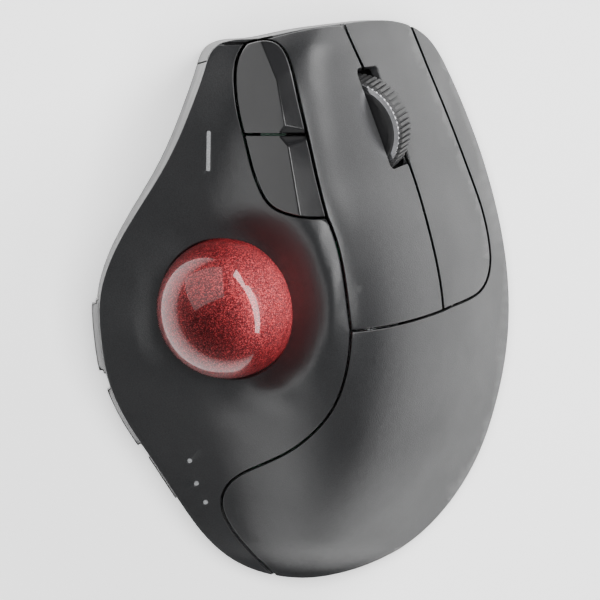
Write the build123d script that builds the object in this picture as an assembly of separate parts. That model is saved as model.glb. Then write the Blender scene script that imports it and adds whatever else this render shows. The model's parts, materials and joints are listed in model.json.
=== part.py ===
from build123d import *
import math
import os

# Vertical trackball mouse for the right hand. Millimetres, +X towards the palm side, +Y to the front, +Z up.
# The origin is the centre of the rectangle that the mouse stands in, on the table.

# --- driving dimensions ---------------------------------------------------------------------------------
BALL_RADIUS = 17.0
BALL_CENTRE = (-18.0, -2.2, 37.0)
BALL_AXIS = (-0.30, -0.17, 0.94)
BALL_HOLE_GAP = 0.35
BALL_LAYER_RADII = (8.0, 13.0, 17.0)
BALL_LAYER_GAP = 0.08

WALL = 2.0
SEAM = 0.58
FLOOR_LOW = 0.8
FLOOR_TOP = 2.8
COVER_FOOT = 4.2
HEIGHT_LIMIT = 90.0

WHEEL_RADIUS = 12.5
WHEEL_WIDTH = 6.4
WHEEL_RIBS = 58
RIB_GAP = 0.6
RIB_DEPTH = 0.7
WHEEL_DEPTH = 7.6
WHEEL_PLAN = (18.6, 44.3)
WHEEL_OUT = (0.743, 0.407, 0.529)
WHEEL_ALONG = (0.48, -0.876, 0.0)
# Corners of the wheel's slot in the wheel's plane: along the slot, and along the axle to the left.
SLOT_CORNERS = [(-12.8, 4.8), (-10.8, -4.9), (13.4, -4.9), (12.3, 4.8)]
SLOT_ROUND = 1.5
SLOT_DEPTH = 24.0
AXLE_RADIUS = 1.5
TYRE_THICKNESS = 2.4
BOARD_THICKNESS = 1.2

BATTERY_RADIUS = 7.1
BATTERY_LENGTH = 50.0
BAY_LOW = (10.0, -38.0)
BAY_HIGH = (40.0, 18.0)

# The mouse's bounding rectangle is centred on the origin by this shift of the working frame.
FRAME_SHIFT = (-1.6, 1.7, 0.0)

# --- top surface: stations along Y of the left edge, the ridge and the palm-side foot ---------------------
LEFT_EDGE_X = [(67, -24.2), (55, -24.7), (42, -29.6), (34, -33.1), (27, -36.7), (20, -41), (12, -45.4),
               (4, -48), (-7, -48.8), (-16, -47.8), (-29, -43), (-46, -32.5), (-55, -27), (-63, -20),
               (-69, -12)]
LEFT_EDGE_Z = [(67, 47), (55, 50), (42, 46.5), (34, 41.5), (27, 37), (20, 32.5), (12, 28.5), (4, 26.5),
               (-7, 25.5), (-16, 23.5), (-29, 19), (-46, 15.5), (-55, 13.5), (-69, 9)]
RIDGE_X = [(67, 0), (55, -2), (42, -1.5), (30, 0), (20, 3.5), (5, 7.5), (-6, 9.2), (-20, 10), (-35, 10),
           (-50, 8), (-69, 4)]
RIDGE_Z = [(67, 56), (61, 61), (54, 64.2), (45, 66.2), (32, 68), (20, 68.5), (5, 67.5), (-6, 65.5),
           (-18, 61), (-30, 54), (-42, 45), (-54, 33), (-63, 21.5), (-69, 12)]
FOOT_X = [(67, 36), (56, 38.2), (46, 42), (34, 46.6), (19, 50.6), (4, 52.8), (-11, 53), (-26, 50.6),
          (-41, 45.6), (-56, 36), (-64, 27), (-69, 18)]
FOOT_Z = 8.0
RIDGE_ROUND = 0.28
PALM_BULGE = 0.25
THUMB_SWELL = 0.45
THUMB_SPAN = 0.72

BOWL_SLOPE = 3.0
BOWL_SHIFT = -4.0
BOWL_FLOOR_RADIUS = 16.0
BOWL_ROUND = 3.0
BOWL_STRETCH = 0.82
BOWL_TILT = (0.316, 0.182)
BOWL_RISE = 1.6
RIM_ROUND = 5.0

GRID_X = (-60.0, 62.0, 37)
GRID_Y = (-78.0, 76.0, 31)

# --- plan outlines: the whole body and the seams between the panels ---------------------------------------
OUTLINE = [(-19.4, 61.9), (-22.6, 59.4), (-24.1, 55.4), (-26.4, 48.6), (-29.4, 40.7), (-33.4, 31.9),
           (-38.3, 23.4), (-42.9, 15.5), (-46.7, 7.2), (-48.6, -1), (-48.3, -10), (-46.6, -20), (-42.4, -30),
           (-36, -40), (-29.5, -50), (-23, -59.2), (-15.5, -66), (-5, -70), (8, -70), (19, -67.2),
           (27.5, -62.8), (35.5, -55.8), (41.3, -48.3), (46, -39.5), (49.6, -29), (52.2, -17), (53.2, -4),
           (52.3, 9), (50, 21), (46.6, 33), (42.2, 45), (37.4, 55.5), (32, 63), (25.4, 66.4), (16.5, 67.1),
           (8, 66.2), (-3, 64.6), (-13, 62.7)]
OUTLINE_FLARE = 0.0004
OUTLINE_LEVEL = 25.0

SIDE_SEAM = [(3.8, 20.4), (6.9, 11.4), (8.5, 2.0), (9.6, -6.1)]
REAR_SEAM = [(9.6, -6.1), (8.6, -17), (6.1, -24.8), (1.6, -31.5), (-4.5, -37.2), (-12.0, -42), (-16.6, -45.6),
             (-18.7, -50.6), (-17.2, -56), (-13, -62), (-8, -67.6), (-2.5, -73)]
CLICK_SEAM_INNER = [(9.6, -6.1), (17, -5.5), (25, -4.4), (33.6, -2.6)]
CLICK_SEAM_OUTER = [(33.6, -2.6), (40.6, -0.7), (45.2, 1.6), (47.6, 6.4), (47.6, 12.4), (45.8, 20.7),
                    (42.7, 29.2), (36.1, 45.9), (31.3, 56.9), (25.0, 71)]
SPLIT_SEAM = [(33.6, -2.6), (32.6, 5), (29.3, 19), (25.4, 31.6), (19.2, 44.6), (13.4, 55.6), (8.9, 65.4)]
FRONT_SEAM = [(8.9, 65.4), (2, 64.7), (-6, 63), (-14.2, 60.9)]
KEY_SEAM_RIGHT = [(-14.2, 60.9), (-5.6, 59.0), (-4.0, 54.5), (-2.6, 48), (-1.0, 41), (1.2, 31), (3.8, 20.4)]
KEY_SEAM_LEFT = [(-14.2, 60.9), (-16.2, 57.5), (-16.8, 51), (-16.0, 44.5), (-14.6, 38.5), (-13.2, 32.6),
                 (-11.4, 27.2), (-8.8, 23), (-4.6, 21), (3.8, 20.4)]
KEY_GAP_Y = 39.6
KEY_BEVEL = 2.6

# Key ridge: where the left flank and the lighter top facet of the two keys meet.
KEY_RIDGE_FRONT = (-8.6, 58.0, 65.6)
KEY_RIDGE_REAR = (-2.6, 21.0, 70.4)
KEY_NOSE_Y = 53.0
KEY_FLANK_DROP = 10.0
KEY_FLANK_RUN = 7.4
KEY_TOP_DROP = 1.4
KEY_TOP_RUN = 6.0
KEY_WELL_LEVEL = 38.0


def along(stations, y):
    """Value at y of a smooth curve through the (y, value) stations."""
    points = sorted(stations)
    y = min(max(y, points[0][0]), points[-1][0])
    last = len(points) - 1
    i = 0
    while i < last - 1 and y > points[i + 1][0]:
        i += 1

    def slope(k):
        low, high = max(k - 1, 0), min(k + 1, last)
        return (points[high][1] - points[low][1]) / (points[high][0] - points[low][0])

    span = points[i + 1][0] - points[i][0]
    u = (y - points[i][0]) / span
    start = (1 + 2 * u) * (1 - u) ** 2 * points[i][1] + u * (1 - u) ** 2 * span * slope(i)
    end = u * u * (3 - 2 * u) * points[i + 1][1] - u * u * (1 - u) * span * slope(i + 1)
    return start + end


def soft_ramp(v, radius):
    """A ramp from 0 at v = 0 to 1 at v = 1 with a rounded start."""
    return (math.sqrt(v * v + radius * radius) - radius) / (math.sqrt(1 + radius * radius) - radius)


def soft_min(a, b, reach):
    """The lower of two heights, with a rounded crease."""
    h = max(reach - abs(a - b), 0) / reach
    return min(a, b) - h * h * reach / 4


def height(x, y):
    """Height of the outer surface over a point of the plan."""
    ridge_x, ridge_z = along(RIDGE_X, y), along(RIDGE_Z, y)
    if x > ridge_x:
        v = (x - ridge_x) / (along(FOOT_X, y) - ridge_x)
        fall = (1 - PALM_BULGE) * soft_ramp(v, RIDGE_ROUND) + PALM_BULGE * v * v
        return ridge_z - (ridge_z - FOOT_Z) * fall
    edge_x, edge_z = along(LEFT_EDGE_X, y), along(LEFT_EDGE_Z, y)
    u = (ridge_x - x) / (ridge_x - edge_x)
    w = min(max(u / THUMB_SPAN, 0), 1)
    s_curve = 1 - w ** 3 * (10 - 15 * w + 6 * w * w)
    share = THUMB_SWELL * s_curve + (1 - THUMB_SWELL) * (1 - soft_ramp(u, 0.12))
    thumb = edge_z + (ridge_z - edge_z) * share
    dx, dy = x - BALL_CENTRE[0], y - BALL_CENTRE[1]
    reach = max(0, math.hypot(dx - BOWL_SHIFT, BOWL_STRETCH * dy) - BOWL_FLOOR_RADIUS)
    bowl = BALL_CENTRE[2] + BOWL_RISE + BOWL_TILT[0] * dx + BOWL_TILT[1] * dy
    bowl += BOWL_SLOPE * (math.hypot(reach, BOWL_ROUND) - BOWL_ROUND)
    return soft_min(thumb, bowl, RIM_ROUND)


def under_surface(inset=0.0, drop=0.0):
    """Everything under the outer surface moved inwards by inset and down by drop."""
    sections = []
    step = 0.05
    for j in range(GRID_Y[2]):
        y = GRID_Y[0] + (GRID_Y[1] - GRID_Y[0]) * j / (GRID_Y[2] - 1)
        points = []
        for i in range(GRID_X[2]):
            x = GRID_X[0] + (GRID_X[1] - GRID_X[0]) * i / (GRID_X[2] - 1)
            rise_x = (height(x + step, y) - height(x - step, y)) / (2 * step)
            rise_y = (height(x, y + step) - height(x, y - step)) / (2 * step)
            steepness = math.sqrt(1 + rise_x ** 2 + rise_y ** 2)
            points.append(Vector(x, y, height(x, y) - inset * steepness - drop))
        sections.append(Wire([Edge.make_spline(points, parameters=[p.X for p in points])]))
    top = Shell.make_loft(sections).faces()[0]
    return Solid.extrude(top, Vector(0, 0, -160))


def outline_at(level, grow):
    """The body's plan outline at a level, grown outwards by grow."""
    scale = 1 + OUTLINE_FLARE * (OUTLINE_LEVEL - level)
    count = len(OUTLINE)
    points = []
    for i, (x, y) in enumerate(OUTLINE):
        before, after = OUTLINE[i - 1], OUTLINE[(i + 1) % count]
        tangent = Vector(after[0] - before[0], after[1] - before[1]).normalized()
        points.append(Vector(x * scale - tangent.Y * grow, y * scale + tangent.X * grow, level))
    return Wire([Edge.make_spline(points, periodic=True)])


def column(grow=0.0, low=0.0, high=HEIGHT_LIMIT):
    """The body's outline as an upright column with slightly flared sides."""
    return Solid.make_loft([outline_at(low, -grow), outline_at(high, -grow)], ruled=True)


def region(*runs, low=0.0, high=HEIGHT_LIMIT):
    """A plan region as an upright prism, from runs of points that share their ends."""
    edges = [Spline(*run) if len(run) > 2 else Line(*run) for run in runs]
    return Pos(0, 0, low) * extrude(Face(Wire(edges)), amount=high - low, dir=(0, 0, 1))


def band(run, width=SEAM, overrun=0.3):
    """The upright gap that follows a seam, as wide as width and a little longer than the seam."""
    seam = Spline(*run) if len(run) > 2 else Line(*run)
    count = 3 * len(run)
    sides = {-1: [], 1: []}
    for i in range(count + 1):
        point, tangent = seam @ (i / count), seam % (i / count)
        stretch = (i == count) - (i == 0)
        point += tangent * overrun * stretch
        for side in sides:
            sides[side].append(point + Vector(-tangent.Y, tangent.X) * side * width / 2)
    left, right = sides[1], sides[-1]
    edges = [Spline(*left), Line(left[-1], right[-1]), Spline(*right), Line(right[0], left[0])]
    return extrude(Face(Wire(edges)), amount=HEIGHT_LIMIT, dir=(0, 0, 1))


def block(low, high):
    """A box between two corners."""
    size = [b - a for a, b in zip(low, high)]
    middle = [(a + b) / 2 for a, b in zip(low, high)]
    return Pos(*middle) * Box(*size)


def rod(x, y, low, high, radius):
    """An upright cylinder."""
    return Pos(x, y, (low + high) / 2) * Cylinder(radius, high - low)


def save(name, part):
    """Write one piece as its own file, moved into the mouse's frame."""
    solids = part.solids()
    export_step(Compound(children=[Pos(*FRAME_SHIFT) * solid for solid in solids]), f"parts/{name}.step")
    print(name, len(solids), round(sum(solid.volume for solid in solids), 1))


def piece_at(solids, x, y):
    """The solid whose box is the smallest one round a plan point."""
    around = []
    for solid in solids:
        box = solid.bounding_box()
        if box.min.X < x < box.max.X and box.min.Y < y < box.max.Y:
            around.append(((box.max.X - box.min.X) * (box.max.Y - box.min.Y), solid))
    return min(around, key=lambda pair: pair[0])[1]


def below(plane, size=120.0):
    """Everything on the back side of a plane."""
    return plane * Pos(0, 0, -size / 2) * Box(size * 2, size * 2, size)


os.makedirs("parts", exist_ok=True)
OUTER = under_surface()
INNER = under_surface(WALL)
BODY = column() & OUTER
CAVITY = column(-2.7, FLOOR_TOP) & under_surface(WALL, 1.2)
ball_axis = Vector(*BALL_AXIS).normalized()
BALL_PLANE = Plane(origin=BALL_CENTRE, z_dir=ball_axis)
wheel_out = Vector(*WHEEL_OUT).normalized()
wheel_along = Vector(*WHEEL_ALONG).normalized()
wheel_left = wheel_out.cross(wheel_along)
wheel_top = Vector(*WHEEL_PLAN, height(*WHEEL_PLAN))
WHEEL_CENTRE = wheel_top - wheel_out * WHEEL_DEPTH
# In the wheel's plane X runs along the slot, Y points out of the surface and Z is the axle, leftwards.
WHEEL_PLANE = Plane(origin=WHEEL_CENTRE, x_dir=wheel_along, z_dir=wheel_along.cross(wheel_out))

# --- panels ---------------------------------------------------------------------------------------------
FRONT_LINE = [(-80, 61.1), (-14.2, 60.9)]
KEY_GAP = [(-20, KEY_GAP_Y), (2, KEY_GAP_Y)]
FRONT_END = [(8.9, 65.4), (8.9, 75)]
BANDS = {}
for run_name, run in (("side", SIDE_SEAM), ("rear", REAR_SEAM), ("key_left", KEY_SEAM_LEFT),
                      ("key_right", KEY_SEAM_RIGHT), ("split", SPLIT_SEAM), ("click_in", CLICK_SEAM_INNER),
                      ("click_out", CLICK_SEAM_OUTER), ("front", FRONT_SEAM), ("front_line", FRONT_LINE),
                      ("key_gap", KEY_GAP), ("front_end", FRONT_END)):
    BANDS[run_name] = band(run)

sheet = BODY - INNER
for run_name, cut in BANDS.items():
    if run_name != "key_gap":
        sheet = Compound(children=(sheet - cut).solids())
panels = sheet.solids()

ball_hole = Pos(*BALL_CENTRE) * Sphere(BALL_RADIUS + BALL_HOLE_GAP)
ball_hole += BALL_PLANE * extrude(Circle(BALL_RADIUS + BALL_HOLE_GAP), 40)
LIGHT_GUIDE_BOX = ((-23.3, 30.8, 30), (-22.4, 40.4, 60))
INDICATOR_PLAN = [(-26.6, -40.6), (-24.9, -46.4), (-22.6, -51.2)]
INDICATOR_RADIUS = 0.55


def light_guide(grow):
    """The status light's slot, as an upright rounded bar."""
    (x0, y0, z0), (x1, y1, z1) = LIGHT_GUIDE_BOX
    bar = SlotOverall(y1 - y0 + 2 * grow, x1 - x0 + 2 * grow, rotation=90)
    return extrude(Pos((x0 + x1) / 2, (y0 + y1) / 2, z0) * bar, z1 - z0, dir=(0, 0, 1))


thumb_panel = piece_at(panels, -40, 0) - ball_hole - light_guide(0.05)
for x, y in INDICATOR_PLAN:
    thumb_panel -= rod(x, y, 5, 50, INDICATOR_RADIUS + 0.04)
save("thumb_panel", thumb_panel)

slot_face = Face(Wire.make_polygon([WHEEL_PLANE.from_local_coords(Vector(x, 0, z)) for x, z in SLOT_CORNERS]))
slot_face = slot_face.fillet_2d(SLOT_ROUND, slot_face.vertices())
slot = extrude(slot_face, SLOT_DEPTH, dir=wheel_out)
for name, x, y in (("left_button", 0, 10), ("right_button", 45, 30)):
    save(name, piece_at(panels, x, y) - slot)

palm_plan = region(CLICK_SEAM_INNER, CLICK_SEAM_OUTER, [(25, 71), (25, 80)], [(25, 80), (80, 80)],
                   [(80, 80), (80, -73)], [(80, -73), (-2.5, -73)], REAR_SEAM)
palm_cover = BODY & palm_plan
palm_cover -= INNER & column(-WALL, 0.0)
palm_cover -= block((-90, -90, -1), (90, 90, COVER_FOOT))
for run_name in ("rear", "click_in", "click_out"):
    palm_cover -= BANDS[run_name]
save("palm_cover", palm_cover)

# --- glossy forward and back keys -------------------------------------------------------------------------
ridge_front, ridge_rear = Vector(*KEY_RIDGE_FRONT), Vector(*KEY_RIDGE_REAR)
ridge_way = (ridge_front - ridge_rear).normalized()
flank_way = Vector(-KEY_FLANK_RUN, 0, -KEY_FLANK_DROP)
top_way = Vector(KEY_TOP_RUN, 0, -KEY_TOP_DROP)
flank = Plane(origin=ridge_rear, x_dir=ridge_way, z_dir=ridge_way.cross(flank_way) * -1)
top_face = Plane(origin=ridge_rear, x_dir=ridge_way, z_dir=ridge_way.cross(top_way))
if flank.z_dir.Z < 0:
    flank = Plane(origin=ridge_rear, x_dir=ridge_way, z_dir=flank.z_dir * -1)
if top_face.z_dir.Z < 0:
    top_face = Plane(origin=ridge_rear, x_dir=ridge_way, z_dir=top_face.z_dir * -1)
keys = region(KEY_SEAM_LEFT, KEY_SEAM_RIGHT, low=40, high=80)
keys = keys & below(flank) & below(top_face)
keys &= below(Plane(origin=(-8, KEY_NOSE_Y, ridge_front.Z + 0.4), z_dir=(0.12, 0.42, 0.9)))
keys -= under_surface(WALL, 5.0)
gap_level = ridge_rear.Z + (KEY_GAP_Y - ridge_rear.Y) / ridge_way.Y * ridge_way.Z
keys -= Pos(-5, KEY_GAP_Y, gap_level + 0.3) * Rot(45, 0, 0) * Box(60, KEY_BEVEL * 1.414, KEY_BEVEL * 1.414)
for run_name in ("key_left", "key_right", "key_gap"):
    keys -= BANDS[run_name]
for name, y in (("forward_button", 50), ("back_button", 30)):
    save(name, piece_at(keys.solids(), -8, y))

# --- front bezel ------------------------------------------------------------------------------------------
ring = column(0, COVER_FOOT) - column(-2.2, COVER_FOOT)
front_zone = block((-80, 57.0, 0), (32, 80, 90)) - palm_plan
front_strip = region(FRONT_SEAM, FRONT_LINE, [(-80, 61.1), (-80, 90)], [(-80, 90), (8.9, 90)],
                     [(8.9, 90), (8.9, 65.4)])
front_rim = ring & OUTER & front_strip
for run_name in ("front", "front_line", "front_end"):
    front_rim -= BANDS[run_name]
front_bezel = (ring & under_surface(WALL, 1.7) & front_zone) + front_rim
front_bezel -= region(KEY_SEAM_LEFT, KEY_SEAM_RIGHT, low=KEY_WELL_LEVEL)
for run_name in ("key_left", "key_right", "click_out"):
    front_bezel -= BANDS[run_name]
save("front_bezel", front_bezel)

# --- bottom shell -----------------------------------------------------------------------------------------
BOSSES = [(-19, 47), (24, 46), (-15, -50), (26, -52)]
BOSS_RADIUS = 3.2
BOSS_TOP = 15.0
SCREW_RADIUS = 1.25
SCREW_HEAD_RADIUS = 2.4
CUP_POSTS = [(-29.5, 4), (-29.5, -13), (-9.5, -17)]
SWITCH_SLOT = ((-24.0, 14.0), (-20.0, 23.5))
FOOT_PADS = [(-17, 53, 9), (22, 57, 9), (-33, -22, 8), (16, -60, 12), (-12, -60, 7)]

left_zone = region(KEY_SEAM_LEFT, SIDE_SEAM, REAR_SEAM, [(-2.5, -73), (-80, -73)],
                   [(-80, -73), (-80, 61.1)], [(-80, 61.1), (-14.2, 60.9)])
full_ring = column(0, FLOOR_LOW) - column(-2.2, FLOOR_LOW)
left_wall = full_ring & under_surface(WALL, 0.15) & left_zone & block((-80, -80, 0), (0, 56.7, 80))
low_lip = full_ring & block((-80, -80, 0), (80, 80, COVER_FOOT - 0.2))
floor = column(0, FLOOR_LOW) & block((-80, -80, 0), (80, 80, FLOOR_TOP))
bay_low, bay_high = Vector(*BAY_LOW), Vector(*BAY_HIGH)
bay_walls = block((bay_low.X - 1.8, bay_low.Y - 1.8, FLOOR_TOP), (bay_high.X + 1.8, bay_high.Y + 1.8, 11))
bay_walls &= CAVITY
bottom_shell = floor + low_lip + left_wall + bay_walls
boss_room = CAVITY + block((-80, -80, 0), (80, 80, 3))
for x, y in BOSSES:
    bottom_shell += rod(x, y, FLOOR_TOP - 0.5, BOSS_TOP, BOSS_RADIUS) & boss_room
bottom_shell -= block((*BAY_LOW, FLOOR_LOW - 1), (*BAY_HIGH, 12))
for x, y in BOSSES:
    bottom_shell -= rod(x, y, FLOOR_LOW + 1.4, 30, SCREW_RADIUS + 0.05)
    bottom_shell -= rod(x, y, FLOOR_LOW - 1, FLOOR_LOW + 1.4, SCREW_HEAD_RADIUS + 0.1)
bottom_shell -= block((*SWITCH_SLOT[0], 0), (*SWITCH_SLOT[1], FLOOR_TOP + 1))

cup_outer = Pos(*BALL_CENTRE) * Sphere(BALL_RADIUS + 2.6)
for x, y in CUP_POSTS:
    bottom_shell += rod(x, y, FLOOR_TOP - 0.5, 30, 2.2) - cup_outer

# --- buttons in the left wall -----------------------------------------------------------------------------
# Each one: name, centre on the wall, turn of the wall from +Y, length, low level, high level and how far
# it stands out of the wall.
SIDE_BUTTONS = [("speed_button", (-47.9, -10.2), 6.0, 18.4, 8.2, 16.2, 1.5),
                ("mode_button", (-42.2, -30.0), 27.5, 17.4, 7.6, 14.6, 1.0),
                ("connection_button", (-32.6, -45.2), 33.0, 14.0, 7.0, 12.0, 0.5)]
SIDE_BUTTON_GAP = 0.25
SIDE_BUTTON_STEP = 0.9
SIDE_BUTTON_REACH = 16.0


def wall_block(centre, turn, depth, length, low, high):
    """A box across the left wall, turned with it, between two levels."""
    return Pos(*centre, (low + high) / 2) * Rot(0, 0, turn) * Box(depth, length, high - low)


for name, centre, turn, length, low, high, proud in SIDE_BUTTONS:
    gap = SIDE_BUTTON_GAP
    opening = wall_block(centre, turn, SIDE_BUTTON_REACH, length + 2 * gap, low - gap, high + gap)
    bottom_shell -= opening & (column(4, FLOOR_LOW) - column(-3, FLOOR_LOW))
    button = column(proud, 5) - column(-2.6, 5)
    button &= wall_block(centre, turn, SIDE_BUTTON_REACH, length, low, high)
    middle = wall_block(centre, turn, SIDE_BUTTON_REACH, length - 2 * SIDE_BUTTON_STEP, low - 1, high + 1)
    button -= (column(proud + 6, 5) - column(proud - SIDE_BUTTON_STEP, 5)) - middle
    save(name, button)
save("bottom_shell", bottom_shell)

pads = [rod(x, y, 0, FLOOR_LOW, r / 2) for x, y, r in FOOT_PADS]
save("rubber_feet", Compound(children=pads))
SCREW_TOP = 9.5
SCREW_DRIVE_RADIUS = 0.9
screws = []
for x, y in BOSSES:
    screw = rod(x, y, FLOOR_LOW + 0.1, FLOOR_LOW + 1.35, SCREW_HEAD_RADIUS)
    screw += rod(x, y, FLOOR_LOW + 0.7, SCREW_TOP, SCREW_RADIUS)
    screw -= rod(x, y, 0, FLOOR_LOW + 0.8, SCREW_DRIVE_RADIUS)
    screws.append(screw)
save("shell_screws", Compound(children=screws))

# --- underside: battery bay, door, receiver, power switch -------------------------------------------------
DOOR_GAP = 0.2
DOOR_GRIPS = 5
CONTACT_SIZE = (9, 0.5, 10)
RECEIVER_PLUG = ((27.5, -14, 3.2), (39.0, -6, 8.2))
RECEIVER_HOLLOW = ((28.2, -15, 5.2), (38.3, -8, 7.6))
RECEIVER_BODY = ((27.2, -6, 3.6), (39.2, 6, 7.8))
KNOB_SLIDE = ((-23.8, 14.2, 0.95), (-20.2, 18.6, 3.0))
KNOB_PLATE = ((-25.5, 12.6, 3.0), (-18.5, 20.2, 4.2))
KNOB_GRIPS = 3

door = block((bay_low.X + DOOR_GAP, bay_low.Y + DOOR_GAP, FLOOR_LOW),
             (bay_high.X - DOOR_GAP, bay_high.Y - DOOR_GAP, FLOOR_TOP - 0.4))
for k in range(DOOR_GRIPS):
    door -= block((bay_low.X + 9, bay_low.Y + 5 + 2 * k, 0), (bay_high.X - 9, bay_low.Y + 6 + 2 * k, 1.2))
save("battery_door", door)
battery_x = bay_low.X + BATTERY_RADIUS + 1.4
battery_z = FLOOR_TOP + 0.4 + BATTERY_RADIUS
battery = Pos(battery_x, -10, battery_z) * Rot(90, 0, 0) * Cylinder(BATTERY_RADIUS, BATTERY_LENGTH - 1.5)
battery += Pos(battery_x, -10 + BATTERY_LENGTH / 2 - 0.6, battery_z) * Rot(90, 0, 0) * Cylinder(2.7, 1.2)
save("battery", battery)
contacts = []
for y in (bay_low.Y + 0.6, bay_high.Y - 0.6):
    contacts.append(Pos(battery_x, y, battery_z) * Box(*CONTACT_SIZE))
save("battery_contacts", Compound(children=contacts))
receiver = block(*RECEIVER_PLUG) + block(*RECEIVER_BODY) - block(*RECEIVER_HOLLOW)
save("usb_receiver", receiver)
knob = block(*KNOB_SLIDE) + block(*KNOB_PLATE)
for k in range(KNOB_GRIPS):
    knob -= block((-23, 15.1 + 1.1 * k, 0), (-21, 15.6 + 1.1 * k, 1.3))
save("power_switch", knob)

# --- ball, cup and sensor ---------------------------------------------------------------------------------
CUP_GAP = 0.8
CUP_EDGE = 4.5
BEARING_RADIUS = 1.3
BEARING_ANGLE = 38.0
LENS_DEPTH = 21.0
SENSOR_DEPTH = 23.8
SENSOR_BOARD_DEPTH = 25.95

inner_radius = 0.0
for name, outer_radius in zip(("ball_core", "ball_inner_layer", "ball_outer_layer"), BALL_LAYER_RADII):
    layer = Sphere(outer_radius)
    if inner_radius:
        layer = layer - Sphere(inner_radius + BALL_LAYER_GAP)
    save(name, Pos(*BALL_CENTRE) * layer)
    inner_radius = outer_radius

cup = BALL_PLANE * (Sphere(BALL_RADIUS + 2.6) - Sphere(BALL_RADIUS + CUP_GAP))
cup &= below(BALL_PLANE * Pos(0, 0, -CUP_EDGE))
cup &= under_surface(WALL, 0.6)
cup -= BALL_PLANE * Pos(0, 0, -15) * Cylinder(4, 20)
bearings = []
reach, sink = math.cos(math.radians(BEARING_ANGLE)), math.sin(math.radians(BEARING_ANGLE))
away = BALL_RADIUS + BEARING_RADIUS + 0.02
for k in range(3):
    turn = math.radians(120 * k + 30)
    spot = BALL_PLANE * Pos(away * reach * math.cos(turn), away * reach * math.sin(turn), -away * sink)
    bearings.append(spot * Sphere(BEARING_RADIUS))
    cup -= spot * Sphere(BEARING_RADIUS + 0.02)
save("ball_cup", cup)
save("bearing_balls", Compound(children=bearings))
save("sensor_lens", BALL_PLANE * Pos(0, 0, -LENS_DEPTH) * Cylinder(3.6, 2.4))
save("ball_sensor", BALL_PLANE * Pos(0, 0, -SENSOR_DEPTH) * Box(11, 10, 3))
save("sensor_board", BALL_PLANE * Pos(0, 0, -SENSOR_BOARD_DEPTH) * Box(18, 16, BOARD_THICKNESS))

# --- scroll wheel -----------------------------------------------------------------------------------------
tyre = Cylinder(WHEEL_RADIUS, WHEEL_WIDTH) - Cylinder(WHEEL_RADIUS - TYRE_THICKNESS, WHEEL_WIDTH + 1)
tyre = chamfer(tyre.edges().filter_by(lambda e: abs(e.length - 2 * math.pi * WHEEL_RADIUS) < 0.1), 0.5)
for k in range(WHEEL_RIBS):
    groove = Pos(WHEEL_RADIUS, 0, 0) * Box(2 * RIB_DEPTH, RIB_GAP, WHEEL_WIDTH + 1)
    tyre -= Rot(0, 0, 360 * k / WHEEL_RIBS) * groove
save("wheel_tyre", WHEEL_PLANE * tyre)
hub = Cylinder(WHEEL_RADIUS - TYRE_THICKNESS, WHEEL_WIDTH) - Cylinder(AXLE_RADIUS + 0.05, 20)
for side in (1, -1):
    hub -= Pos(0, 0, side * WHEEL_WIDTH / 2) * (Cylinder(WHEEL_RADIUS - 3.4, 1.2) - Cylinder(3, 3))
save("wheel_hub", WHEEL_PLANE * hub)
rim = Cylinder(WHEEL_RADIUS - 0.6, 0.5) - Cylinder(WHEEL_RADIUS - 1.7, 2)
save("wheel_rim_ring", WHEEL_PLANE * Pos(0, 0, WHEEL_WIDTH / 2 + 0.25) * rim)
save("wheel_axle", WHEEL_PLANE * Cylinder(AXLE_RADIUS, 15))
carrier = Pos(0, -4, 0) * Box(9, 13, 11.6) - Pos(0, -3, 0) * Box(30, 50, 8.8)
carrier += Pos(0, -15, 0) * Box(9, 1.5, 11.6)
carrier += Pos(0, -12, 5.1) * Box(9, 7.5, 1.4) + Pos(0, -12, -5.1) * Box(9, 7.5, 1.4)
carrier -= Cylinder(AXLE_RADIUS, 40)
save("wheel_carrier", WHEEL_PLANE * carrier)
encoder = Box(8, 9, 2.2) - Pos(0, 2, 0) * Cylinder(AXLE_RADIUS, 9)
save("wheel_encoder", WHEEL_PLANE * Pos(0, -2.0, -7.0) * encoder)
save("middle_switch", WHEEL_PLANE * Pos(0, -18.9, 0) * Box(6, 4.6, 6))

# --- boards, switches and the inner frame -----------------------------------------------------------------
BUTTON_BOARD = WHEEL_PLANE * Pos(29, -13.5, 0)
board = BUTTON_BOARD * Box(16, 1.4, 26)
save("button_board", board)
for name, side in (("left_switch", 1), ("right_switch", -1)):
    body = Pos(0, 3.6, side * 8) * Box(12.8, 5.8, 6.0) + Pos(-3, 6.8, side * 8) * Box(2, 1.2, 1.6)
    save(name, BUTTON_BOARD * body)

frame_rib = block((-3, 14.5, FLOOR_TOP), (40, 16.5, 70)) + block((-3, 24.5, FLOOR_TOP), (40, 26.5, 70))
frame_rib = frame_rib & under_surface(WALL, 9.0)
frame_rib &= column(-6.0, FLOOR_TOP)
frame_rib -= BUTTON_BOARD * Pos(0, 15, 0) * Box(60, 31.4, 60)
frame_rib += block((-8.5, 27, FLOOR_TOP), (-6, 58, 44)) & under_surface(WALL, 8.0) & column(-5, FLOOR_TOP)
frame_rib += block((-8.5, 14.5, FLOOR_TOP), (-6, 58, 12)) & column(-5, FLOOR_TOP)
frame_rib += block((-8.5, 14.5, FLOOR_TOP), (36, 26.5, FLOOR_TOP + 1.6))
frame_rib -= Pos(*BALL_CENTRE) * Sphere(BALL_RADIUS + 3.4)
frame_rib -= block((BAY_LOW[0] - 2.2, BAY_LOW[1], 0), (BAY_HIGH[0] + 2.2, BAY_HIGH[1] + 2.2, 13))
save("inner_frame", frame_rib)

KEY_BOARD_LEVEL = 46.0
KEY_SWITCH_HEIGHT = 3.4
low = KEY_BOARD_LEVEL + BOARD_THICKNESS
high = low + KEY_SWITCH_HEIGHT
save("key_board", block((-10.5, 27, KEY_BOARD_LEVEL), (-4.5, 56, low)))
for name, y in (("forward_switch", 49), ("back_switch", 32)):
    switch = block((-10, y - 3, low), (-5, y + 3, high))
    save(name, switch + block((-8, y - 1, high), (-7, y + 1, high + 0.6)))

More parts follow.
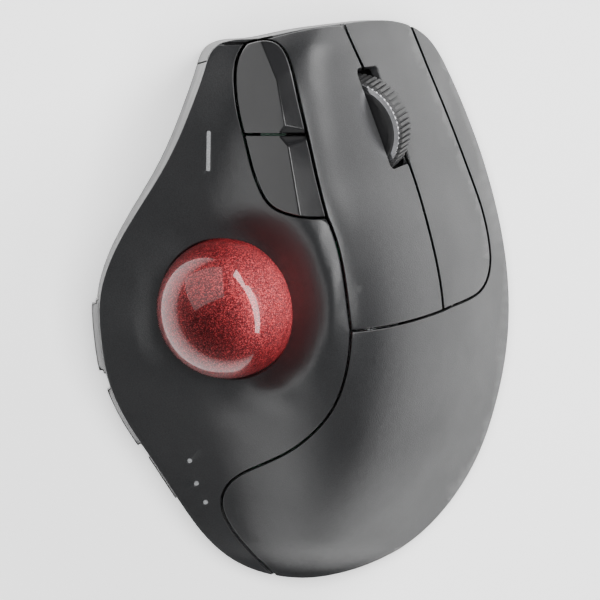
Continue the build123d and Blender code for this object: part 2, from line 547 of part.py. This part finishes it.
main_board = column(-7.5, 5) & block((-60, -44, 5.6), (7, 45, 7.2))
for x, y in CUP_POSTS:
    main_board -= rod(x, y, 0, 20, 2.5)
for x, y in BOSSES:
    main_board -= rod(x, y, 0, 20, BOSS_RADIUS + 0.4)
main_board -= block((-9, 14, 0), (10, 60, 20))
main_board -= block((-26.5, 11, 0), (-17.5, 28, 20))
save("main_board", main_board)
SWITCH_REACH = 5.6
side_switches = []
for _, centre, turn, *_ in SIDE_BUTTONS:
    inward = Vector(1, 0, 0).rotate(Axis.Z, turn) * SWITCH_REACH
    spot = (centre[0] + inward.X, centre[1] + inward.Y)
    side_switches.append(wall_block(spot, turn, 3.4, 5, 7.2, 11.4))
save("side_switches", Compound(children=side_switches))

# --- lights -----------------------------------------------------------------------------------------------
guide = light_guide(0) & under_surface(0, 0.12) - under_surface(WALL, 3.0)
save("light_guide", guide)
lamp_skin = under_surface(0, 0.06) - INNER
lamps = []
for x, y in INDICATOR_PLAN:
    lamps += (rod(x, y, 5, 50, INDICATOR_RADIUS) & lamp_skin).solids()
save("indicator_lights", Compound(children=lamps))
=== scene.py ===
import json
import math

import bmesh
import bpy
from mathutils import Matrix, Vector


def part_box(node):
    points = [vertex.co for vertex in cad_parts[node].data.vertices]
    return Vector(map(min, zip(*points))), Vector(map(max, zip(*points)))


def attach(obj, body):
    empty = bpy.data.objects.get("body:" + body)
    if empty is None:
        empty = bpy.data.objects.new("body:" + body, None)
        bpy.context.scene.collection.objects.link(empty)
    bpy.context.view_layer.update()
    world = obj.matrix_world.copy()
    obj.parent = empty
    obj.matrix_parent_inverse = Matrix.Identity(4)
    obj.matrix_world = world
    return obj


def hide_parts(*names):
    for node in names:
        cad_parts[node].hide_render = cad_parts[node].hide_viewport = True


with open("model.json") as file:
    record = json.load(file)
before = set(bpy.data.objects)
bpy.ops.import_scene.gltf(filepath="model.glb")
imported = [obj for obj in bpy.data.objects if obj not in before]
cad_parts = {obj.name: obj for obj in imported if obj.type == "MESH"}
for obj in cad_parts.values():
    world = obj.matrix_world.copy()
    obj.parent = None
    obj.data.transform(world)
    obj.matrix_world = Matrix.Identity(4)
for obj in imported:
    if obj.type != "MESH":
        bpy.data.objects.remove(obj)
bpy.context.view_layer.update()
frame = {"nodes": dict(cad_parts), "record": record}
NODES = frame["nodes"]
RECORD = frame["record"]
MM = 0.001

# --- camera -------------------------------------------------------------------------------------------
CAMERA_AIM = Vector((-0.0020, 0.0013, 0.035))
CAMERA_TILT_LEFT = math.radians(3.5)
CAMERA_TILT_FRONT = math.radians(3.0)
CAMERA_DISTANCE = 0.850
VIEW_WIDTH = 0.1446


def add_camera():
    """A long lens almost straight above the mouse, with its front edge at the top of the picture."""
    back = Vector((-math.sin(CAMERA_TILT_LEFT) * math.cos(CAMERA_TILT_FRONT), math.sin(CAMERA_TILT_FRONT),
                   math.cos(CAMERA_TILT_LEFT) * math.cos(CAMERA_TILT_FRONT)))
    right = Vector((math.cos(CAMERA_TILT_LEFT), 0, math.sin(CAMERA_TILT_LEFT)))
    up = back.cross(right)
    data = bpy.data.cameras.new("camera")
    data.sensor_width = 36
    data.lens = 36 * CAMERA_DISTANCE / VIEW_WIDTH
    data.clip_start = 0.01
    camera = bpy.data.objects.new("camera", data)
    bpy.context.collection.objects.link(camera)
    turn = Matrix((right, up, back)).transposed().to_4x4()
    camera.matrix_world = Matrix.Translation(CAMERA_AIM + back * CAMERA_DISTANCE) @ turn
    bpy.context.scene.camera = camera


# --- light and floor ----------------------------------------------------------------------------------
FLOOR_SIZE = 3.0
FLOOR_GLOW = 0.66
FLOOR_GREY = 0.88
WORLD_STRENGTH = 0.12
LIGHTS_AIM = (0, 0, 0.03)
BALL = "ball_outer_layer"
# Lights for everything but the ball: name, place, size and watts.
SHELL_LIGHTS = [("front_right_light", (0.55, 0.45, 0.34), (0.45, 0.34), 9.0),
                ("top_light", (0.02, 0.04, 0.62), (0.42, 0.30), 8.0)]
# Lights for the ball alone: name, place from its centre, size, watts and the way its long side runs.
BALL_LIGHTS = [("ball_window", (0.322, 0.122, 0.119), (0.97, 0.50), 20.0, (0.558, -0.826, 0.08)),
               ("ball_glow", (-0.30, 0.29, 0.27), (0.55, 0.55), 1.6, (1, 0, 0))]
LEVEL_SIDE = (1, 0, 0)


def soft_light(name, place, size, watts, aim, along):
    """A rectangular soft light that faces a point, with its first side turned along a direction."""
    data = bpy.data.lights.new(name, "AREA")
    data.shape = "RECTANGLE"
    data.size, data.size_y = size
    data.energy = watts
    light = bpy.data.objects.new(name, data)
    back = (Vector(place) - Vector(aim)).normalized()
    side = Vector(along)
    side = (side - back * side.dot(back)).normalized()
    turn = Matrix((side, back.cross(side), back)).transposed().to_4x4()
    light.matrix_world = Matrix.Translation(place) @ turn
    light.visible_camera = False
    bpy.context.collection.objects.link(light)
    return light


def share_light(light, only_ball):
    """Keep a light for the ball alone, or keep the ball out of it."""
    chosen = bpy.data.collections.new(light.name + "_linking")
    chosen.objects.link(NODES[BALL])
    if only_ball:
        light.light_linking.blocker_collection = chosen
    else:
        chosen.collection_objects[0].light_linking.link_state = "EXCLUDE"
    light.light_linking.receiver_collection = chosen


def add_room():
    """Pale floor, dim surroundings, soft lights for the body and separate ones for the ball."""
    world = bpy.data.worlds.new("room")
    world.use_nodes = True
    background = world.node_tree.nodes["Background"]
    background.inputs["Color"].default_value = (0.95, 0.97, 1.0, 1)
    background.inputs["Strength"].default_value = WORLD_STRENGTH
    bpy.context.scene.world = world
    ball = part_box(BALL)
    ball_centre = (Vector(ball[0]) + Vector(ball[1])) / 2
    for name, place, size, watts in SHELL_LIGHTS:
        share_light(soft_light(name, place, size, watts, LIGHTS_AIM, LEVEL_SIDE), False)
    for name, offset, size, watts, along in BALL_LIGHTS:
        share_light(soft_light(name, ball_centre + Vector(offset), size, watts, ball_centre, along), True)
    mesh = bpy.data.meshes.new("floor")
    s = FLOOR_SIZE
    mesh.from_pydata([(-s, -s, 0), (s, -s, 0), (s, s, 0), (-s, s, 0)], [], [(0, 1, 2, 3)])
    floor = bpy.data.objects.new("floor", mesh)
    bpy.context.collection.objects.link(floor)
    material, _, shader = new_material("floor_paper")
    shader.inputs["Base Color"].default_value = (FLOOR_GREY, FLOOR_GREY, FLOOR_GREY, 1)
    shader.inputs["Roughness"].default_value = 0.9
    shader.inputs["Emission Color"].default_value = (1, 1, 1, 1)
    shader.inputs["Emission Strength"].default_value = FLOOR_GLOW
    mesh.materials.append(material)


# --- materials ----------------------------------------------------------------------------------------
# Painted highlight: convex edges, found by pointiness, are painted a little lighter than the plastic.
EDGE_HIGHLIGHT_LIFT = 0.019
EDGE_HIGHLIGHT_SHARE = 0.55
EDGE_HIGHLIGHT_POINTINESS = (0.52, 0.60)
MOTTLE_SCALE = 60
DARKER_SPECK = 0.72
PALER_SPECK = 1.30


def new_material(name):
    """A node material with its node tree and its shader."""
    material = bpy.data.materials.new(name)
    material.use_nodes = True
    tree = material.node_tree
    return material, tree, tree.nodes["Principled BSDF"]


def noise(tree, scale, detail=2.0, roughness=0.5):
    """Noise measured in object space, in features per metre."""
    where = tree.nodes.new("ShaderNodeTexCoord")
    grain = tree.nodes.new("ShaderNodeTexNoise")
    grain.inputs["Scale"].default_value = scale
    grain.inputs["Detail"].default_value = detail
    grain.inputs["Roughness"].default_value = roughness
    tree.links.new(where.outputs["Object"], grain.inputs["Vector"])
    return grain.outputs["Fac"]


def spread(tree, source, low, high, start=0.3, end=0.7):
    """A value from low to high over the range start to end of the source."""
    node = tree.nodes.new("ShaderNodeMapRange")
    node.inputs["From Min"].default_value, node.inputs["From Max"].default_value = start, end
    node.inputs["To Min"].default_value, node.inputs["To Max"].default_value = low, high
    tree.links.new(source, node.inputs["Value"])
    return node.outputs["Result"]


def colours(tree, source, *stops):
    """A colour ramp through (position, colour) stops."""
    node = tree.nodes.new("ShaderNodeValToRGB")
    elements = node.color_ramp.elements
    for i, (position, colour) in enumerate(stops):
        stop = elements[i] if i < 2 else elements.new(position)
        stop.position = position
        stop.color = (*colour, 1)
    tree.links.new(source, node.inputs["Fac"])
    return node.outputs["Color"]


def bump(tree, shader, source, depth, strength=1.0):
    """Relief of the surface, up to depth metres."""
    node = tree.nodes.new("ShaderNodeBump")
    node.inputs["Distance"].default_value = depth
    node.inputs["Strength"].default_value = strength
    tree.links.new(source, node.inputs["Height"])
    tree.links.new(node.outputs["Normal"], shader.inputs["Normal"])


def painted_edge_highlight(tree, colour):
    """The colour with its convex edges painted a little lighter: a painted highlight along the edges."""
    geometry = tree.nodes.new("ShaderNodeNewGeometry")
    edge = spread(tree, geometry.outputs["Pointiness"], 0.0, EDGE_HIGHLIGHT_SHARE, *EDGE_HIGHLIGHT_POINTINESS)
    mix = tree.nodes.new("ShaderNodeMix")
    mix.data_type = "RGBA"
    tree.links.new(edge, mix.inputs["Factor"])
    tree.links.new(colour, mix.inputs[6])
    brighter = tree.nodes.new("ShaderNodeBrightContrast")
    brighter.inputs["Bright"].default_value = EDGE_HIGHLIGHT_LIFT
    tree.links.new(colour, brighter.inputs["Color"])
    tree.links.new(brighter.outputs["Color"], mix.inputs[7])
    return mix.outputs[2]


def moulded(name, colour, roughness, grain=4000, depth=0.00003, vary=0.06, specular=0.5, metallic=0.0,
            edge_highlight=False):
    """Moulded or coated surface with a fine grain, mottled roughness and slight colour variation."""
    material, tree, shader = new_material(name)
    fine = noise(tree, grain, 3.0)
    broad = noise(tree, MOTTLE_SCALE, 3.0)
    darker = tuple(c * DARKER_SPECK for c in colour)
    paler = tuple(min(1, c * PALER_SPECK) for c in colour)
    tint = colours(tree, fine, (0.3, darker), (0.7, paler))
    # Where asked, convex edges get a painted highlight in the base colour.
    tree.links.new(painted_edge_highlight(tree, tint) if edge_highlight else tint, shader.inputs["Base Color"])
    tree.links.new(spread(tree, broad, roughness - vary, roughness + vary), shader.inputs["Roughness"])
    shader.inputs["Specular IOR Level"].default_value = specular
    shader.inputs["Metallic"].default_value = metallic
    bump(tree, shader, fine, depth)
    return material


FLAKE_CELLS = 5200
FLAKE_DARK = (0.05, 0.002, 0.004)
FLAKE_MIDDLE = (0.12, 0.006, 0.009)
FLAKE_BRIGHT = (0.50, 0.045, 0.050)
FLAKE_DEPTH = 0.00004


def flake_red():
    """Deep red with metallic flakes of several depths under a clear gloss."""
    material, tree, shader = new_material("ball_red")
    where = tree.nodes.new("ShaderNodeTexCoord")
    cells = tree.nodes.new("ShaderNodeTexVoronoi")
    cells.inputs["Scale"].default_value = FLAKE_CELLS
    tree.links.new(where.outputs["Object"], cells.inputs["Vector"])
    split = tree.nodes.new("ShaderNodeSeparateColor")
    tree.links.new(cells.outputs["Color"], split.inputs["Color"])
    shade = colours(tree, split.outputs["Red"], (0.0, FLAKE_DARK), (1.0, FLAKE_BRIGHT), (0.62, FLAKE_MIDDLE))
    tree.links.new(shade, shader.inputs["Base Color"])
    tree.links.new(spread(tree, split.outputs["Green"], 0.35, 1.0, 0.0, 1.0), shader.inputs["Metallic"])
    shader.inputs["Roughness"].default_value = 0.42
    shader.inputs["Coat Weight"].default_value = 0.9
    shader.inputs["Coat Roughness"].default_value = 0.03
    shader.inputs["Coat IOR"].default_value = 1.5
    bump(tree, shader, split.outputs["Blue"], FLAKE_DEPTH, 0.5)
    return material


CHARCOAL = (0.014, 0.0142, 0.0150)
# shell, base and key_gloss have a painted highlight on their convex edges.
MATERIALS = {
    "shell": moulded("shell", CHARCOAL, 0.42, 3400, 0.00004, 0.04, 0.36, edge_highlight=True),
    "base": moulded("base", (0.020, 0.0205, 0.0215), 0.44, 3000, 0.00004, 0.05, edge_highlight=True),
    "key_gloss": moulded("key_gloss", (0.006, 0.006, 0.0065), 0.24, 5200, 0.00001, 0.05, 0.36, edge_highlight=True),
    "ball_core": moulded("ball_core", (0.30, 0.02, 0.03), 0.35),
    "ball_red": flake_red(),
    "rubber": moulded("rubber", (0.013, 0.013, 0.0135), 0.55, 6000, 0.00003),
    "feet": moulded("feet", (0.03, 0.03, 0.03), 0.75, 5000, 0.00004),
    "bright_ring": moulded("bright_ring", (0.55, 0.55, 0.57), 0.24, 9000, 0.000004, 0.05, metallic=1.0),
    "wheel_plastic": moulded("wheel_plastic", (0.008, 0.008, 0.0085), 0.30, 5000, 0.00001),
    "steel": moulded("steel", (0.58, 0.58, 0.60), 0.30, 8000, 0.000005, 0.06, metallic=1.0),
    "inner_plastic": moulded("inner_plastic", (0.010, 0.010, 0.011), 0.55, 3000, 0.00004),
    "board": moulded("board", (0.02, 0.13, 0.07), 0.42, 2500, 0.00001),
    "component": moulded("component", (0.03, 0.03, 0.032), 0.45, 4000, 0.00002),
    "lens": moulded("lens", (0.75, 0.78, 0.80), 0.12, 2000, 0.000002),
    "guide": moulded("guide", (0.22, 0.225, 0.23), 0.35, 3000, 0.00001),
    "battery": moulded("battery", (0.50, 0.51, 0.53), 0.36, 3000, 0.00001, metallic=0.6),
    "contact": moulded("contact", (0.66, 0.65, 0.60), 0.32, 6000, 0.000006, metallic=1.0),
}
SLOT_OF = {row["node"]: row["material_slot"] for row in RECORD["subparts"]}


def finish_nodes():
    """Give every carried-over CAD node the material of its slot."""
    for name, node in NODES.items():
        node.data.materials.clear()
        node.data.materials.append(MATERIALS[SLOT_OF[name]])


# --- rounded shells -----------------------------------------------------------------------------------
WELD = 0.06 * MM
PANEL_ROUND = 0.28 * MM
KEY_ROUND = 0.32 * MM
BUTTON_ROUND = 0.25 * MM
BASE_ROUND = 0.22 * MM
NORMAL_WEIGHT = 60
SHARP = math.radians(32)
FLAT = math.radians(0.7)
BODY_OF = {node: body for body, nodes in RECORD["behaviour"]["bodies"].items() for node in nodes}


def add_piece(name, mesh, material, body):
    """A new piece that rides on a body and takes its finish from a slot."""
    piece = bpy.data.objects.new(name, mesh)
    bpy.context.collection.objects.link(piece)
    mesh.materials.clear()
    mesh.materials.append(material)
    mesh.shade_smooth()
    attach(piece, body)
    return piece


def rounded(node, width, flat=False):
    """A node's shape with its edges rounded over, in place of the node."""
    form = bmesh.new()
    form.from_mesh(NODES[node].data)
    bmesh.ops.remove_doubles(form, verts=form.verts, dist=WELD)
    bmesh.ops.dissolve_degenerate(form, dist=WELD / 2, edges=form.edges)
    if flat:
        bmesh.ops.dissolve_limit(form, angle_limit=FLAT, verts=form.verts, edges=form.edges)
    edges = [edge for edge in form.edges if edge.is_manifold and edge.calc_face_angle() > SHARP]
    bmesh.ops.bevel(form, geom=edges, offset=width, offset_type="OFFSET", segments=3, profile=0.5,
                    affect="EDGES", clamp_overlap=False)
    bmesh.ops.triangulate(form, faces=[face for face in form.faces if len(face.verts) > 4])
    mesh = bpy.data.meshes.new(node + "_rounded")
    form.to_mesh(mesh)
    form.free()
    piece = add_piece(node + "_rounded", mesh, MATERIALS[SLOT_OF[node]], BODY_OF[node])
    piece.modifiers.new("even_normals", "WEIGHTED_NORMAL").weight = NORMAL_WEIGHT
    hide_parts(node)
    return piece


def round_shells():
    """Rounded edges on everything that is seen or touched from outside."""
    for node in ("thumb_panel", "palm_cover", "left_button", "right_button", "front_bezel"):
        rounded(node, PANEL_ROUND)
    for node in ("forward_button", "back_button"):
        rounded(node, KEY_ROUND, flat=True)
    for node in ("speed_button", "mode_button", "connection_button", "power_switch", "battery_door"):
        rounded(node, BUTTON_ROUND, flat=True)
    rounded("bottom_shell", BASE_ROUND, flat=True)


add_camera()
add_room()
finish_nodes()
round_shells()
